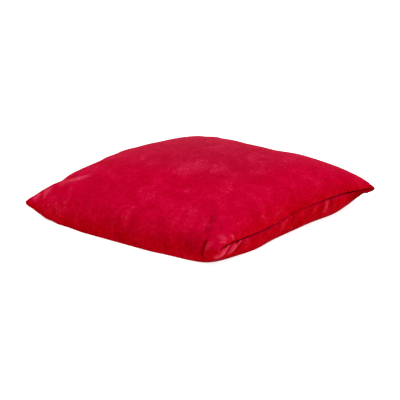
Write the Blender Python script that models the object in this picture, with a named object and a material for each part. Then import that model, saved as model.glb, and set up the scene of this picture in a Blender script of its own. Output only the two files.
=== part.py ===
"""A square throw cushion: a velvet slip cover with a plain sewn edge and a
concealed zip, round an inner bag of light beads. It lies on a floor, slumped.

Frame: +Z is up, the floor is z = 0, and the origin lies on the floor under the
middle of the cushion. The seamed sides run along X and Y. The front corner is at
-X -Y, and the zip runs along X on the +Y side.
"""

import math

import bmesh
import bpy
import numpy as np

# Overall size of the filled cushion, from corner to corner along one side.
side_length = 0.410

# How far each corner stands above the floor, and how far each side is drawn in.
front_corner_height = 0.0255
right_corner_height = 0.0295
back_corner_height = 0.0400
left_corner_height = 0.0250
front_right_pull = 0.0030
back_right_pull = 0.0110
zip_side_pull = 0.0085
front_left_pull = 0.0010
front_right_lift = 0.0110
back_right_drop = 0.0040
front_left_drop = 0.0200
zip_height = 0.0275
side_wave_power = 2.3
front_left_wave_power = 4.2

# The swell of the two panels away from the seam.
crown_height = 0.0800
crown_share_power = 0.376
belly_depth = 0.0850
belly_share_power = 0.395
fuller_left_share = 0.085
flat_corner_share = 0.18
flat_corner_reach = 0.035
floor_blend = 0.010
pad_floor_blend = 0.018
floor_contact_height = 0.0001
overhang = 0.0030
overhang_peak = 0.0205

# Velvet cover: cloth thickness, lips, seam allowance.
velvet_thickness = 0.0020
lip_depth = 0.0009
lip_gap = 0.0004
seam_rise = 0.0008
stitch_inset = 0.0032
stitch_hollow = 0.0007
allowance_width = 0.0120
allowance_thickness = 0.0014
root_inset = 0.0042
root_rise = 0.0019
cover_thread_radius = 0.00035

# Concealed zip on the +Y side.
zip_end_margin = 0.053
zip_end_clearance = 0.002
zip_closing_length = 0.017
zip_lip_gap = 0.0014
zip_pocket_inset = 0.0023
zip_pocket_height = 0.0092
tape_width = 0.0080
tape_thickness = 0.0005
tape_offset = 0.00115
tape_clearance = 0.0003
coil_radius = 0.0009
coil_offset = 0.0011
coil_inset = 0.0045
coil_end_margin = 0.004
stop_length = 0.0025
zip_stitch_radius = 0.0002
zip_stitch_inset = 0.0110

slider_length = 0.0090
slider_wall = 0.0007
slider_clearance = 0.0003
slider_lip = 0.0008
bail_thickness = 0.0008
bail_width = 0.0029
bail_hole_radius = 0.00075
pull_pin_radius = 0.00040
pull_pin_reach = 0.0019
pull_ear_radius = 0.0012
pull_ear_thickness = 0.0008
pull_length = 0.0240
pull_width = 0.0052
pull_tip_width = 0.0070
pull_thickness = 0.0012
pull_web_start = 0.0019

# Inner bag and its filling.
bag_seam_inset = 0.0150
bag_clearance = 0.0014
bag_floor_clearance = 0.0003
bag_cloth_thickness = 0.0008
bag_seam_rise = 0.0005
bag_lip_depth = 0.0008
bag_lip_gap = 0.0004
bag_stitch_inset = 0.0025
bag_stitch_hollow = 0.0007
bag_allowance_width = 0.0080
bag_allowance_thickness = 0.0008
bag_root_inset = 0.0030
bag_root_rise = 0.0013
bag_thread_radius = 0.00025
fill_seam_inset = 0.0280
fill_clearance = 0.0012
fill_floor_clearance = 0.0003
bag_fullness = 30
fill_fullness = 16

# Mesh lines across a panel, close together where the cloth turns at the seam.
middle_steps = 12
corner_line_shares = (0.0, 0.065, 0.23, 0.56)
slope_step_share = 0.002
thread_resolution = 1
circle_steps = 16
round_end_steps = 8

half_side = side_length / 2
zip_tape_length = side_length - 2 * zip_end_margin
pocket_half = zip_tape_length / 2 + allowance_width + zip_end_clearance
UP = np.array((0.0, 0.0, 1.0))


def line_shares():
    """Places of the mesh lines across a side, from 0 to 1, with one at each zip end."""
    corner_share = (half_side - pocket_half) / side_length
    near = [share * corner_share for share in corner_line_shares]
    middle = np.linspace(corner_share, 1 - corner_share, middle_steps + 1)
    return np.concatenate((near, middle, [1 - share for share in reversed(near)]))


def wave(share, power):
    """0 at both corners of a side and 1 in its middle."""
    return 1 - np.abs(2 * share - 1) ** power


def smooth(share):
    share = np.clip(share, 0, 1)
    return share * share * (3 - 2 * share)


def zip_straight(share):
    """1 along the straight stretch that holds the zip, 0 at the corners."""
    reach = np.abs(2 * share - 1) * half_side
    return smooth((half_side - reach) / (half_side - pocket_half))


def zip_opening(share):
    """1 where the seam is left open for the zip, 0 where it is sewn shut."""
    reach = np.abs(2 * share - 1) * half_side
    return np.clip((pocket_half + zip_closing_length - reach) / zip_closing_length, 0, 1)


CORNERS = {
    "front": np.array((-half_side, -half_side, front_corner_height)),
    "right": np.array((half_side, -half_side, right_corner_height)),
    "back": np.array((half_side, half_side, back_corner_height)),
    "left": np.array((-half_side, half_side, left_corner_height)),
}

# Each side: its two corners, the way in, its pull, how much its middle is lifted, and
# how soon after a corner it has reached that.
SIDES = {
    "front_right": ("front", "right", (0, 1, 0), front_right_pull, front_right_lift, side_wave_power),
    "zip": ("left", "back", (0, -1, 0), zip_side_pull, 0, side_wave_power),
    "front_left": ("front", "left", (1, 0, 0), front_left_pull, -front_left_drop, front_left_wave_power),
    "back_right": ("right", "back", (-1, 0, 0), back_right_pull, -back_right_drop, side_wave_power),
}


def side_curve(side, share, inset=0.0):
    """Points along one side of the seam, drawn in by an inset on all four sides."""
    first, last, inward, pull, lift, power = SIDES[side]
    share = np.asarray(share, dtype=float)[..., None]
    inset = np.broadcast_to(np.asarray(inset, dtype=float), share.shape[:-1])[..., None]
    start, end = CORNERS[first], CORNERS[last]
    along = (end - start) * (1, 1, 0) / side_length
    points = start + (end - start) * share
    if side == "zip":
        straight = zip_straight(share)
        points = points + np.array(inward) * pull * straight
        points = points + UP * (zip_height - points[..., 2:]) * straight
    else:
        points = points + (np.array(inward) * pull + UP * lift) * wave(share, power)
    return points + np.array(inward) * inset + along * inset * (1 - 2 * share)


def seam_sheet(u, v, inset=0.0):
    """The surface that spans the four sides of the seam (a Coons patch)."""
    uu, vv = u[..., None], v[..., None]
    low, high = side_curve("front_right", u, inset), side_curve("zip", u, inset)
    left, right = side_curve("front_left", v, inset), side_curve("back_right", v, inset)
    zero, one = np.zeros(1), np.ones(1)
    ends = [side_curve(side, share, inset)[0] for side, share in (
        ("front_right", zero), ("front_right", one), ("zip", zero), ("zip", one))]
    flat = (ends[0] * (1 - uu) + ends[1] * uu) * (1 - vv) + (ends[2] * (1 - uu) + ends[3] * uu) * vv
    return low * (1 - vv) + high * vv + left * (1 - uu) + right * uu - flat


def swell(u, v, power):
    """0 round the seam and 1 in the middle, held back where a corner pinches flat."""
    rise = (16 * u * (1 - u) * v * (1 - v)) ** power
    for corner_u, corner_v in ((0, 0), (1, 0), (1, 1), (0, 1)):
        squared = ((u - corner_u) ** 2 + (v - corner_v) ** 2) * side_length ** 2
        rise = rise * (1 - flat_corner_share * np.exp(-squared / flat_corner_reach ** 2))
    return rise * (1 + fuller_left_share * (1 - 2 * u))


def lifted_off_floor(height, floor, blend):
    """Heights pressed flat at the floor, with a rounded turn of the cloth round the flat."""
    above = height - floor
    turn = (above + blend) ** 2 / (4 * blend)
    turn = np.where(turn < floor_contact_height, 0, turn)
    return floor + np.where(above > blend, above, np.where(above < -blend, 0, turn))


def top_form(u, v):
    """Outer face of the top panel, which overhangs the seam on the front left side."""
    points = seam_sheet(u, v)
    near = u * side_length / overhang_peak
    bulge = overhang * near * np.exp(1 - near) * np.clip(4 * v * (1 - v), 0, 1)
    points[..., 2] += crown_height * swell(u, v, crown_share_power)
    points[..., 0] -= bulge
    return points


def hanging_form(u, v):
    """Outer face of the bottom panel as it would hang with no floor under it."""
    points = seam_sheet(u, v)
    points[..., 2] -= belly_depth * swell(u, v, belly_share_power)
    return points


def bottom_form(u, v):
    points = hanging_form(u, v)
    points[..., 2] = lifted_off_floor(points[..., 2], 0, floor_blend)
    return points


def pushed_in(form, u, v, depth, facing):
    """Points of a form moved in by a depth, square to its face (facing +1 up, -1 down)."""
    step = np.minimum(slope_step_share, np.minimum(np.minimum(u, 1 - u), np.minimum(v, 1 - v)) / 2)
    across = form(u + step, v) - form(u - step, v)
    along = form(u, v + step) - form(u, v - step)
    normal = np.cross(across, along)
    normal = normal / np.linalg.norm(normal, axis=-1, keepdims=True) * facing
    return form(u, v) - normal * depth


def steep(share, fullness):
    """0 at both edges and 1 across the middle, with a steep wall between."""
    return 1 - np.abs(2 * share - 1) ** (2 * fullness)


def pad_form(facing, seam_inset, depth, floor_height, fullness):
    """Outer face of something that fills the cover: the inner bag, or its filling."""
    def form(u, v):
        edge = seam_inset / side_length
        cover_u, cover_v = edge + u * (1 - 2 * edge), edge + v * (1 - 2 * edge)
        if facing > 0:
            full = pushed_in(top_form, cover_u, cover_v, depth, facing)
        else:
            full = pushed_in(hanging_form, cover_u, cover_v, depth, facing)
            full[..., 2] = lifted_off_floor(full[..., 2], floor_height, pad_floor_blend)
        share = steep(u, fullness) * steep(v, fullness)
        seam = seam_sheet(u, v, seam_inset)
        return seam + (full - seam) * share[..., None]
    return form


def border_cells(count):
    """Grid places once round the border, in order, with the side that each lies on."""
    cells = [(i, 0, "front_right", i) for i in range(count)]
    cells += [(count, j, "back_right", j) for j in range(count)]
    cells += [(i, count, "zip", i) for i in range(count, 0, -1)]
    cells += [(0, j, "front_left", j) for j in range(count, 0, -1)]
    return cells


def seam_ring(shares, inset, rise, zip_inset, zip_rise, base_inset=0.0):
    """Points once round the seam at an inset and rise, which differ where the zip is."""
    ring = []
    for _, _, side, index in border_cells(len(shares) - 1):
        share = shares[index:index + 1]
        opening = zip_opening(share) if side == "zip" else np.zeros(1)
        ring_inset = inset + (zip_inset - inset) * opening
        point = side_curve(side, share, base_inset + ring_inset)[0]
        ring.append(point + UP * (rise + (zip_rise - rise) * opening))
    return ring


def grid_faces(places, count):
    """Faces of a square grid of numbered points, held by their row and column."""
    corners = ((0, 0), (1, 0), (1, 1), (0, 1))
    return [tuple(places[i + right, j + up] for right, up in corners)
            for i in range(count) for j in range(count)]


def make_material(name, colour, roughness, metallic=0.0):
    material = bpy.data.materials.new(name)
    material.use_nodes = True
    shader = material.node_tree.nodes["Principled BSDF"]
    shader.inputs["Base Color"].default_value = (*colour, 1.0)
    shader.inputs["Roughness"].default_value = roughness
    shader.inputs["Metallic"].default_value = metallic
    material.diffuse_color = (*colour, 1.0)
    return material


def make_object(name, mesh, material, parent=None):
    thing = bpy.data.objects.new(name, mesh)
    bpy.context.collection.objects.link(thing)
    mesh.materials.append(material)
    thing.parent = parent
    return thing


def mesh_from(name, points, faces):
    """A closed mesh with its faces pointing out."""
    mesh = bpy.data.meshes.new(name)
    mesh.from_pydata([tuple(map(float, point)) for point in points], [], faces)
    shape = bmesh.new()
    shape.from_mesh(mesh)
    bmesh.ops.recalc_face_normals(shape, faces=shape.faces)
    if shape.calc_volume(signed=True) < 0:
        bmesh.ops.reverse_faces(shape, faces=shape.faces)
    shape.to_mesh(mesh)
    shape.free()
    return mesh


def sewn_panel(name, form, facing, thickness, rings, material):
    """One panel as a closed shell: its outer face, its turned seam allowance, its inner face.

    rings holds the points once round the seam, from the outer edge to the root of the
    allowance inside the panel.
    """
    shares = line_shares()
    count = len(shares) - 1
    cells = border_cells(count)
    points, faces = [], []

    def add_face_grid(border, depth):
        places = {}
        for (i, j, _, _), point in zip(cells, border):
            places[i, j] = len(points)
            points.append(point)
        u, v = np.meshgrid(shares[1:-1], shares[1:-1], indexing="ij")
        inner = pushed_in(form, u, v, depth, facing) if depth else form(u, v)
        for i in range(1, count):
            for j in range(1, count):
                places[i, j] = len(points)
                points.append(inner[i - 1, j - 1])
        faces.extend(grid_faces(places, count))
        return [places[i, j] for i, j, _, _ in cells]

    loops = [add_face_grid(rings[0], 0)]
    for ring in rings[1:-1]:
        loops.append(list(range(len(points), len(points) + len(ring))))
        points.extend(ring)
    loops.append(add_face_grid(rings[-1], thickness))
    for outer, inner in zip(loops, loops[1:]):
        for here in range(len(outer)):
            after = (here + 1) % len(outer)
            faces.append((outer[here], outer[after], inner[after], inner[here]))
    mesh = mesh_from(name, points, faces)
    mesh.shade_smooth()
    mesh.set_sharp_from_angle(angle=math.radians(60))
    return make_object(name, mesh, material)


def cover_rings(facing):
    """Once round the cover's seam: edge, lip, stitch line, end, back and root of the allowance."""
    shares = line_shares()
    rows = (
        (0, seam_rise, 0, zip_lip_gap / 2 + seam_rise / 2),
        (lip_depth, lip_gap / 2, lip_depth, zip_lip_gap / 2),
        (stitch_inset, stitch_hollow, zip_pocket_inset, zip_pocket_height / 2),
        (allowance_width, lip_gap / 2, allowance_width, tape_top + tape_clearance),
        (allowance_width, lip_gap / 2 + allowance_thickness,
         allowance_width, tape_top + tape_clearance + allowance_thickness),
        (root_inset, root_rise, root_inset, zip_pocket_height / 2 + allowance_thickness),
    )
    return [seam_ring(shares, inset, facing * rise, zip_inset, facing * zip_rise)
            for inset, rise, zip_inset, zip_rise in rows]


def bag_rings(facing):
    shares = line_shares()
    rows = (
        (0, bag_seam_rise),
        (bag_lip_depth, bag_lip_gap / 2),
        (bag_stitch_inset, bag_stitch_hollow),
        (bag_allowance_width, bag_lip_gap / 2),
        (bag_allowance_width, bag_lip_gap / 2 + bag_allowance_thickness),
        (bag_root_inset, bag_root_rise),
    )
    return [seam_ring(shares, inset, facing * rise, inset, facing * rise, bag_seam_inset)
            for inset, rise in rows]


def thread(name, points, radius, closed, material):
    """A seam thread: a thin tube along its stitch line."""
    curve = bpy.data.curves.new(name, "CURVE")
    curve.dimensions = "3D"
    curve.bevel_depth = radius
    curve.bevel_resolution = thread_resolution
    curve.use_fill_caps = True
    spline = curve.splines.new("POLY")
    spline.points.add(len(points) - 1)
    for place, point in zip(spline.points, points):
        place.co = (*map(float, point), 1.0)
    spline.use_cyclic_u = closed
    return make_object(name, curve, material)


def cover_thread_points():
    """The stitch line from one end of the zip round three sides to its other end."""
    shares = line_shares()
    sewn_share = (half_side - pocket_half - zip_closing_length / 2) / side_length
    near = [share for share in shares if share < sewn_share] + [sewn_share]
    far = [1 - share for share in reversed(near)]
    route = [side_curve("zip", np.array([share]), stitch_inset)[0] for share in reversed(near)]
    for side, run in (("front_left", reversed(shares[1:-1])), ("front_right", shares),
                      ("back_right", shares[1:-1])):
        route += [side_curve(side, np.array([share]), stitch_inset)[0] for share in run]
    route += [side_curve("zip", np.array([share]), stitch_inset)[0] for share in reversed(far)]
    return route


def slab(name, low, high, material, parent=None):
    """A closed box between two corners."""
    points = [(x, y, z) for x in (low[0], high[0]) for y in (low[1], high[1]) for z in (low[2], high[2])]
    faces = [(0, 1, 3, 2), (4, 6, 7, 5), (0, 4, 5, 1), (2, 3, 7, 6), (0, 2, 6, 4), (1, 5, 7, 3)]
    return make_object(name, mesh_from(name, points, faces), material, parent)


def prism(name, outline, low, high, axis, material, parent=None):
    """An outline of points in the two other axes, run along one axis."""
    count = len(outline)
    points = []
    for level in (low, high):
        for first, second in outline:
            point = [first, second]
            point.insert(axis, level)
            points.append(point)
    faces = [tuple(range(count)), tuple(range(2 * count - 1, count - 1, -1))]
    faces += [(i, (i + 1) % count, (i + 1) % count + count, i + count) for i in range(count)]
    return make_object(name, mesh_from(name, points, faces), material, parent)


def arc(centre, radius, start_degrees, end_degrees, steps):
    """Outline points along an arc."""
    angles = np.radians(np.linspace(start_degrees, end_degrees, steps + 1))
    x, y = centre
    return [(x + radius * math.cos(angle), y + radius * math.sin(angle)) for angle in angles]


def circle(centre, radius):
    return arc(centre, radius, 0, 360, circle_steps)[:-1]


def boolean(target, tool, operation):
    modifier = target.modifiers.new(tool.name, "BOOLEAN")
    modifier.operation = operation
    modifier.solver = "EXACT"
    modifier.object = tool
    tool.hide_render = True
    tool.display_type = "WIRE"


tape_top = tape_offset + tape_thickness / 2
tape_inset = coil_inset + coil_radius + tape_clearance
coil_half = zip_tape_length / 2 - coil_end_margin
zip_line = half_side - zip_side_pull


def zip_chain(materials):
    """Tapes, coils, stops and the two rows of stitching, along X behind the lips."""
    stop_start = coil_half + tape_clearance
    stop_end = stop_start + stop_length
    stop_back, stop_front = zip_line - coil_inset - coil_radius, zip_line - coil_inset + coil_radius
    for label, facing in (("upper", 1), ("lower", -1)):
        low, high = sorted((facing * (tape_offset - tape_thickness / 2), facing * tape_top))
        slab("zip_tape_" + label,
             (-zip_tape_length / 2, zip_line - tape_inset - tape_width, zip_height + low),
             (zip_tape_length / 2, zip_line - tape_inset, zip_height + high), materials["tape"])
        coil_line = (zip_line - coil_inset, zip_height + facing * coil_offset)
        thread("zip_coil_" + label, [(x, *coil_line) for x in (-coil_half, coil_half)],
               coil_radius, False, materials["coil"])
        stitch_drop = tape_offset - tape_thickness / 2 - tape_clearance - zip_stitch_radius
        stitch_line = (zip_line - zip_stitch_inset, zip_height + facing * stitch_drop)
        thread("zip_stitching_" + label, [(x, *stitch_line) for x in (-coil_half, coil_half)],
               zip_stitch_radius, False, materials["thread"])
        low, high = sorted((facing * (coil_offset - coil_radius), facing * (coil_offset + coil_radius)))
        slab("zip_top_stop_" + label, (-stop_end, stop_back, zip_height + low),
             (-stop_start, stop_front, zip_height + high), materials["metal"])
    reach = coil_offset + coil_radius
    slab("zip_bottom_stop", (stop_start, stop_back, zip_height - reach),
         (stop_end, stop_front, zip_height + reach), materials["metal"])


def empty(name, place, parent=None):
    thing = bpy.data.objects.new(name, None)
    bpy.context.collection.objects.link(thing)
    thing.location = place
    thing.parent = parent
    return thing


def zip_slider(materials):
    """The slider at the closed end of the chain: a channel round both coils with a bail."""
    rest = -coil_half + slider_clearance + slider_length / 2
    carriage = empty("slider_axis", (rest, zip_line, zip_height))
    back = -(coil_inset - coil_radius - slider_clearance)
    front = back + slider_wall
    inner_reach = coil_offset + coil_radius + slider_clearance
    outer_reach = inner_reach + slider_wall
    lip_near = -(coil_inset + coil_radius + slider_clearance)
    lip_far = lip_near - slider_lip
    lip_reach = tape_top + slider_clearance
    upper_half = [(front, outer_reach), (lip_far, outer_reach), (lip_far, lip_reach),
                  (lip_near, lip_reach), (lip_near, inner_reach), (back, inner_reach)]
    outline = upper_half + [(y, -z) for y, z in reversed(upper_half)]
    slider = prism("zip_slider", outline, -slider_length / 2, slider_length / 2, 0,
                   materials["metal"], carriage)
    bail_start = (back + front) / 2
    bail_outline = [(-bail_width / 2, bail_start), (bail_width / 2, bail_start)]
    bail_outline += arc((0, pull_pin_reach), bail_width / 2, 0, 180, round_end_steps)
    bail = prism("bail_guide", bail_outline, -bail_thickness / 2, bail_thickness / 2, 2,
                 materials["metal"], carriage)
    hole = prism("bail_hole_cutter", circle((0, pull_pin_reach), bail_hole_radius),
                 -outer_reach, outer_reach, 2, materials["metal"], carriage)
    boolean(slider, bail, "UNION")
    boolean(slider, hole, "DIFFERENCE")

    pivot = empty("pull_tab_axis", (0, pull_pin_reach, 0), carriage)
    near, far = -pull_web_start, -pull_length
    taper = [(near, -pull_width / 2), (near, pull_width / 2)]
    tip = arc((far + pull_tip_width / 2, 0), pull_tip_width / 2, 90, 270, round_end_steps)
    tab = prism("zip_pull_tab", taper + tip, -pull_thickness / 2, pull_thickness / 2, 1,
                materials["metal"], pivot)
    ear_gap = bail_thickness / 2 + slider_clearance
    ear_outline = [(near - pull_ear_radius, side * pull_ear_radius) for side in (1, -1)]
    ear_outline += arc((0, 0), pull_ear_radius, -90, 90, round_end_steps)
    for label, low, high in (("upper", ear_gap, ear_gap + pull_ear_thickness),
                             ("lower", -ear_gap - pull_ear_thickness, -ear_gap)):
        ear = prism("pull_ear_guide_" + label, ear_outline, low, high, 2, materials["metal"], pivot)
        boolean(tab, ear, "UNION")
    pin = prism("pull_pin_guide", circle((0, 0), pull_pin_radius),
                -ear_gap - pull_ear_thickness / 2, ear_gap + pull_ear_thickness / 2, 2,
                materials["metal"], pivot)
    boolean(tab, pin, "UNION")


def fill_solid(material):
    """The mass of beads, as one closed solid inside the inner bag."""
    cloth_depth = velvet_thickness + bag_clearance + bag_cloth_thickness + fill_clearance
    floor_height = (velvet_thickness + bag_floor_clearance + bag_cloth_thickness + fill_floor_clearance)
    upper = pad_form(1, fill_seam_inset, cloth_depth, floor_height, fill_fullness)
    lower = pad_form(-1, fill_seam_inset, cloth_depth, floor_height, fill_fullness)
    shares = line_shares()
    count = len(shares) - 1
    u, v = np.meshgrid(shares, shares, indexing="ij")
    inner = (slice(1, -1), slice(1, -1))
    border = seam_sheet(u, v, fill_seam_inset)
    points, faces, places = [], [], {}
    for form in (upper, lower):
        face = border.copy()
        face[inner] = form(u[inner], v[inner])
        for i in range(count + 1):
            for j in range(count + 1):
                on_border = i in (0, count) or j in (0, count)
                if on_border and (i, j) in places:
                    continue
                places[i, j] = len(points)
                points.append(face[i, j])
        faces.extend(grid_faces(places, count))
    mesh = mesh_from("bead_fill", points, faces)
    mesh.shade_smooth()
    make_object("bead_fill", mesh, material)


def clear_scene():
    for thing in list(bpy.data.objects):
        bpy.data.objects.remove(thing, do_unlink=True)


def build():
    clear_scene()
    materials = {
        "velvet": make_material("crimson_velvet", (0.56, 0.006, 0.035), 0.85),
        "thread": make_material("crimson_thread", (0.40, 0.004, 0.025), 0.6),
        "tape": make_material("crimson_zip_tape", (0.36, 0.004, 0.022), 0.8),
        "coil": make_material("crimson_zip_coil", (0.36, 0.004, 0.022), 0.4),
        "metal": make_material("lacquered_zip_metal", (0.36, 0.004, 0.022), 0.35),
        "lining": make_material("white_inner_cloth", (0.82, 0.81, 0.78), 0.85),
        "beads": make_material("white_beads", (0.88, 0.88, 0.87), 0.7),
    }
    for label, form, facing in (("top", top_form, 1), ("bottom", bottom_form, -1)):
        sewn_panel("cover_" + label + "_panel", form, facing, velvet_thickness,
                   cover_rings(facing), materials["velvet"])
    thread("cover_seam_thread", cover_thread_points(), cover_thread_radius, False, materials["thread"])
    zip_chain(materials)
    zip_slider(materials)
    depth = velvet_thickness + bag_clearance
    floor_height = velvet_thickness + bag_floor_clearance
    for label, facing in (("top", 1), ("bottom", -1)):
        form = pad_form(facing, bag_seam_inset, depth, floor_height, bag_fullness)
        sewn_panel("inner_bag_" + label + "_panel", form, facing, bag_cloth_thickness,
                   bag_rings(facing), materials["lining"])
    bag_stitch = seam_ring(line_shares(), bag_stitch_inset, 0, bag_stitch_inset, 0, bag_seam_inset)
    thread("inner_bag_seam_thread", bag_stitch, bag_thread_radius, True, materials["thread"])
    fill_solid(materials["beads"])


build()
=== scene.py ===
# %% [markdown]
# # A velvet throw cushion, cell by cell
#
# The object is a square knife-edge cushion in crimson velvet. It lies on a pale floor and has
# slumped a little: flat below, crowned above, drawn in along its sides, with four pinched
# corners. On the real cushion two squares of velvet are sewn face to face and turned, with a
# concealed zip on the back side, round an inner bag of light beads.
#
# The solid model of the same cushion fixes its size, its seam and its zip. This lesson makes
# the surfaces that a viewer sees: simulated and hand-folded cloth, velvet, and the small parts
# of the zip. The first cell loads the solid model.

# %% Load the solid model
import math

import bmesh
import bpy
import numpy as np
from mathutils import Matrix, Vector


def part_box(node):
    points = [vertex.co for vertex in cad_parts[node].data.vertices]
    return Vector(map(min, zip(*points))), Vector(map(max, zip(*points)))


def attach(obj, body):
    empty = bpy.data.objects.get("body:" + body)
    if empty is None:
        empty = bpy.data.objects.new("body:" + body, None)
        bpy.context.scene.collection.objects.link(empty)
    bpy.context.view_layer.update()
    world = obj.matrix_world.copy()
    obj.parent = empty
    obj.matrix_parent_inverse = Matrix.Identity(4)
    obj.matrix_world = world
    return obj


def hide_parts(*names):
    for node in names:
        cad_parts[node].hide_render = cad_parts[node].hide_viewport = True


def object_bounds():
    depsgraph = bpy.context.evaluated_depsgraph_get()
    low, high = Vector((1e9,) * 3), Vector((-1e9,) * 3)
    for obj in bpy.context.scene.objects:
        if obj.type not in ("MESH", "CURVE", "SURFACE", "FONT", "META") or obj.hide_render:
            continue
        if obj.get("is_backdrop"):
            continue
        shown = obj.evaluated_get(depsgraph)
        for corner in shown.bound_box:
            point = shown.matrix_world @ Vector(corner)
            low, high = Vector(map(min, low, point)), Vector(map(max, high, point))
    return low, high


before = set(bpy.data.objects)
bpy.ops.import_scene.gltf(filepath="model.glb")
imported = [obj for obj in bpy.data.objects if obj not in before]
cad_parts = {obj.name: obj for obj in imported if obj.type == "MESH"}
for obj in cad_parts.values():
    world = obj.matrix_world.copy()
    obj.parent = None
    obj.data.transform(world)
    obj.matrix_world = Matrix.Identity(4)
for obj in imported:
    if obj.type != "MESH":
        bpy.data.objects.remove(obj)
solid_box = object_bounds()

# %% [markdown]
# ## Sizes
#
# What the solid model can tell is read from it: the length of a side, and the height and reach
# of the zip. The rest are the cushion's own sizes in metres: how high each corner stands, how
# far each side is drawn in, and how much cloth was cut.

# %% Sizes
MM = 0.001
panel_low, panel_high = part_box("cover_top_panel")
side_length = panel_high[0] - panel_low[0]
half_side = side_length / 2
_, upper_coil_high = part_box("zip_coil_upper")
lower_coil_low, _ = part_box("zip_coil_lower")
zip_height = (upper_coil_high[2] + lower_coil_low[2]) / 2
_, tape_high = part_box("zip_tape_upper")

cut_width = 457 * MM
corner_heights = {"front": 25.5 * MM, "right": 29.5 * MM, "back": 40 * MM, "left": 25 * MM}
zip_side_pull = 8.5 * MM
allowance = 12 * MM
pocket_half = tape_high[0] + allowance + 2 * MM
closing_length = 17 * MM
side_wave_power = 2.3
front_left_wave_power = 4.2

crown_height = 80 * MM
belly_depth = 85 * MM
SWELL_POWER = {1: 0.376, -1: 0.395}
fuller_left = 0.085
flat_corner = 0.18
flat_corner_reach = 35 * MM
floor_blend = 10 * MM
overhang = 3 * MM
overhang_peak = 20.5 * MM
print("side", round(side_length / MM), "mm, zip at", round(zip_height / MM, 1), "mm")

# %% [markdown]
# ## The seam
#
# Everything hangs on the seam, a loop of four curves between the corners. Each is drawn in at
# its middle, because a filled square pulls its sides in, and is lifted or dropped where the
# slumped filling pushes it. The zip's side stays straight and level, since a zip chain doesn't
# stretch. A Coons patch spans the loop and places every point before the cloth swells.

# %% The seam and the sheet that spans it
UP = np.array((0.0, 0.0, 1.0))
ACROSS = np.array((1.0, 0.0, 0.0))
CORNERS = {name: np.array((x * half_side, y * half_side, corner_heights[name]))
           for name, x, y in (("front", -1, -1), ("right", 1, -1), ("back", 1, 1), ("left", -1, 1))}
# Each side: its corners, the way in, how far it is drawn in and lifted, and how soon.
SIDES = {
    "front_right": ("front", "right", (0, 1, 0), 3 * MM, 11 * MM, side_wave_power),
    "zip": ("left", "back", (0, -1, 0), zip_side_pull, 0.0, side_wave_power),
    "front_left": ("front", "left", (1, 0, 0), 1 * MM, -20 * MM, front_left_wave_power),
    "back_right": ("right", "back", (-1, 0, 0), 11 * MM, -4 * MM, side_wave_power),
}


def smooth(share):
    """Eases from 0 to 1, level at both ends."""
    share = np.clip(share, 0, 1)
    return share * share * (3 - 2 * share)


def reach_from_middle(share):
    return np.abs(2 * share - 1) * half_side


def zip_opening(share):
    """1 where the seam is open for the zip, 0 where it is sewn."""
    return np.clip((pocket_half + closing_length - reach_from_middle(share)) / closing_length, 0, 1)


def side_curve(side, share, inset=0.0):
    """Points along one side of the seam, drawn in by an inset on all four sides."""
    first, last, inward, pull, lift, power = SIDES[side]
    share = np.asarray(share, dtype=float)[..., None]
    inset = np.broadcast_to(np.asarray(inset, dtype=float), share.shape[:-1])[..., None]
    start, end = CORNERS[first], CORNERS[last]
    along = (end - start) * (1, 1, 0) / side_length
    points = start + (end - start) * share
    if side == "zip":
        straight = smooth((half_side - reach_from_middle(share)) / (half_side - pocket_half))
        points = points + np.array(inward) * pull * straight
        points = points + UP * (zip_height - points[..., 2:]) * straight
    else:
        wave = 1 - np.abs(2 * share - 1) ** power
        points = points + (np.array(inward) * pull + UP * lift) * wave
    return points + np.array(inward) * inset + along * inset * (1 - 2 * share)


def seam_sheet(u, v, inset=0.0):
    """The surface that spans the four sides (a Coons patch)."""
    uu, vv = u[..., None], v[..., None]
    low, high = side_curve("front_right", u, inset), side_curve("zip", u, inset)
    left, right = side_curve("front_left", v, inset), side_curve("back_right", v, inset)
    ends = [side_curve(side, np.full(1, share), inset)[0]
            for side in ("front_right", "zip") for share in (0.0, 1.0)]
    flat = (ends[0] * (1 - uu) + ends[1] * uu) * (1 - vv) + (ends[2] * (1 - uu) + ends[3] * uu) * vv
    return low * (1 - vv) + high * vv + left * (1 - uu) + right * uu - flat


front_middle = side_curve("front_right", np.full(1, 0.5))[0]
print("middle of the front right seam", np.round(front_middle / MM, 1), "mm")

# %% [markdown]
# ## The swell
#
# A filled panel rises steeply from its seam and then flattens, so its height follows a low
# power of the distance to the sides. The lower panel sags the same way until the floor stops
# it: a short parabola rounds the turn of the cloth to the flat underside.

# %% The swollen faces
def swell(u, v, power):
    rise = (16 * u * (1 - u) * v * (1 - v)) ** power
    for corner_u, corner_v in ((0, 0), (1, 0), (1, 1), (0, 1)):
        squared = ((u - corner_u) ** 2 + (v - corner_v) ** 2) * side_length ** 2
        rise = rise * (1 - flat_corner * np.exp(-squared / flat_corner_reach ** 2))
    return rise * (1 + fuller_left * (1 - 2 * u))


def off_floor(height):
    turn = (height + floor_blend) ** 2 / (4 * floor_blend)
    return np.where(height > floor_blend, height, np.where(height < -floor_blend, 0, turn))


def swollen(facing, u, v):
    """Outer face of the top (+1) or bottom (-1) panel."""
    points = seam_sheet(u, v)
    if facing > 0:
        near = u * side_length / overhang_peak
        points[..., 0] -= overhang * near * np.exp(1 - near) * np.clip(4 * v * (1 - v), 0, 1)
        points[..., 2] += crown_height * swell(u, v, SWELL_POWER[facing])
    else:
        points[..., 2] = off_floor(points[..., 2] - belly_depth * swell(u, v, SWELL_POWER[facing]))
    return points


top_middle = swollen(1, np.full(1, 0.5), np.full(1, 0.5))[0]
print("crown stands", round(top_middle[2] / MM), "mm above the floor")

# %% [markdown]
# ## Cloth coordinates
#
# Folds and threads belong to the cloth, not to the plan of the cushion. So each point gets
# cloth coordinates: how far it lies from the front left seam (s) and the front right seam (t),
# along the velvet, as shares of the cut square. Near a seam the velvet climbs almost straight
# up, so the place in plan is found from a table of lengths along the swollen face. It holds
# the swell's own rise, which grows evenly with the length there.

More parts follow.
